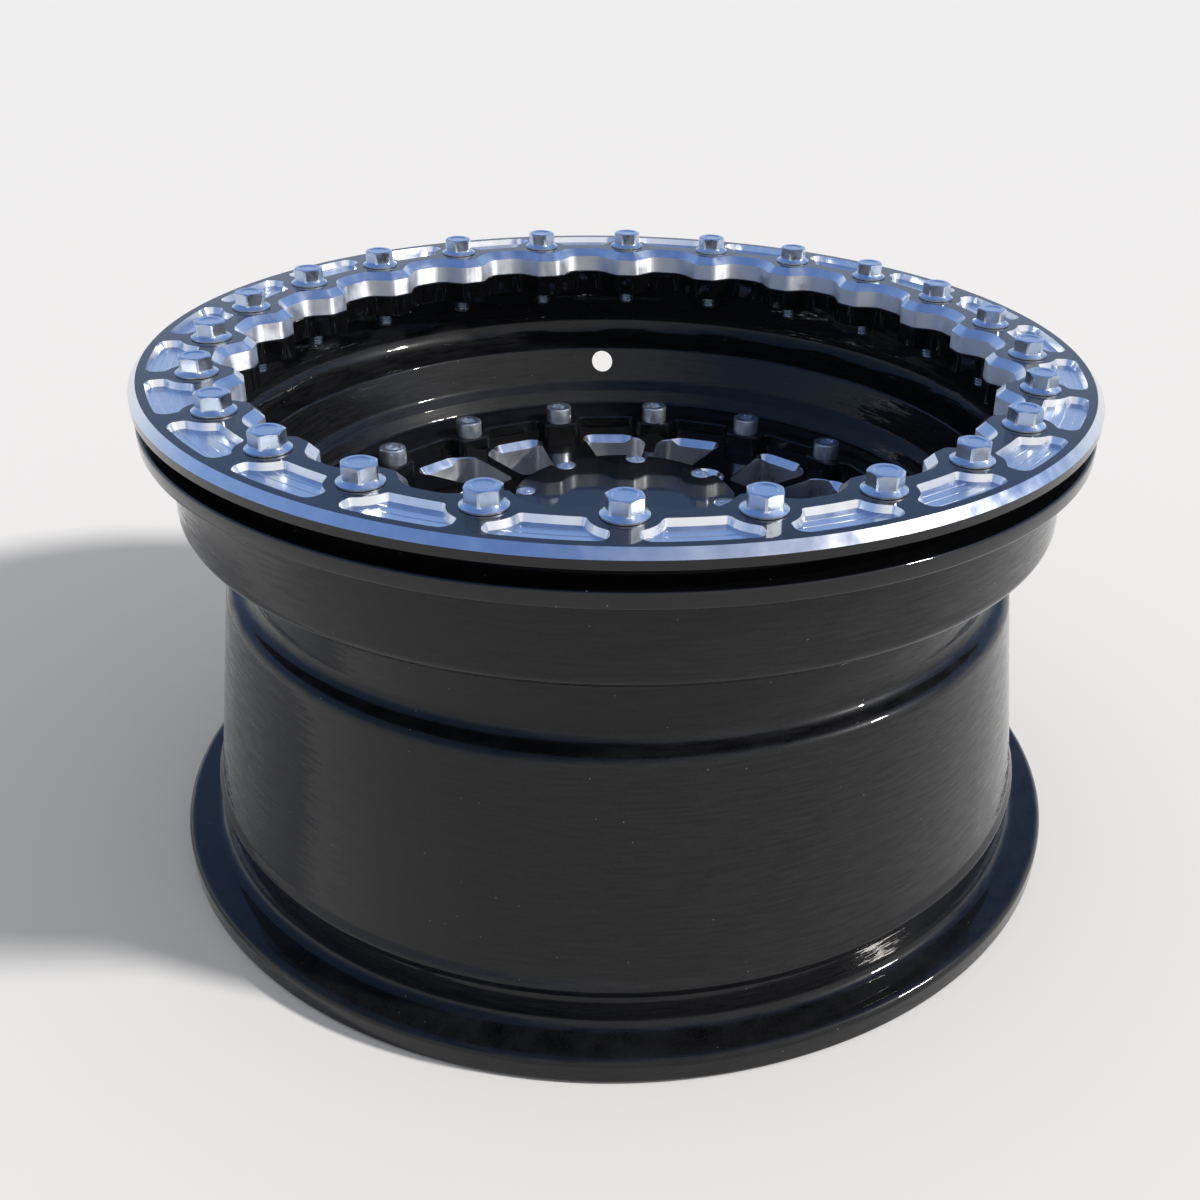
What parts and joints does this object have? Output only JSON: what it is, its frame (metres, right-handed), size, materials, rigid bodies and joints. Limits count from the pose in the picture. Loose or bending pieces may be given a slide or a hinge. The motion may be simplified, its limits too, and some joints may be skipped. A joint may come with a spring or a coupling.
{
  "type": "beadlock wheel",
  "caption": "Gloss black off-road beadlock wheel with a pocketed clamp ring held by zinc flange bolts, a deep dished rim and a bolted machined centre with a round hub cap",
  "frame": {"origin": "on the spin axis in the plane of the hub mounting face", "axes": "+Z along the spin axis towards the street side with the clamp ring, +Y through a centre screw, +X to complete the right-handed set"},
  "size_m": [0.4148, 0.4148, 0.229],
  "materials": {
    "ring_coat": "gloss black coat on aluminium, milled pockets and edges bare and bright",
    "bolt_zinc": "bright zinc plated steel",
    "base_coat": "gloss black coat, lugged inner edge bare and bright",
    "rim_coat": "gloss black coat on a spun shell",
    "barrel_coat": "gloss black coat on a spun shell",
    "centre_coat": "gloss black coat, window walls and stud holes bare and bright",
    "screw_zinc": "bright zinc plated steel",
    "cap_coat": "gloss black coat, notches bare and bright",
    "cap_screw_zinc": "bright zinc plated steel"
  },
  "bodies": {
    "root": {"beadlock_ring": "ring_coat", "ring_bolts": "bolt_zinc", "beadlock_base_ring": "base_coat", "outer_rim_half": "rim_coat", "inner_rim_half": "barrel_coat", "wheel_centre": "centre_coat", "centre_screws": "screw_zinc", "centre_cap": "cap_coat", "cap_screws": "cap_screw_zinc"}
  },
  "joints": []
}
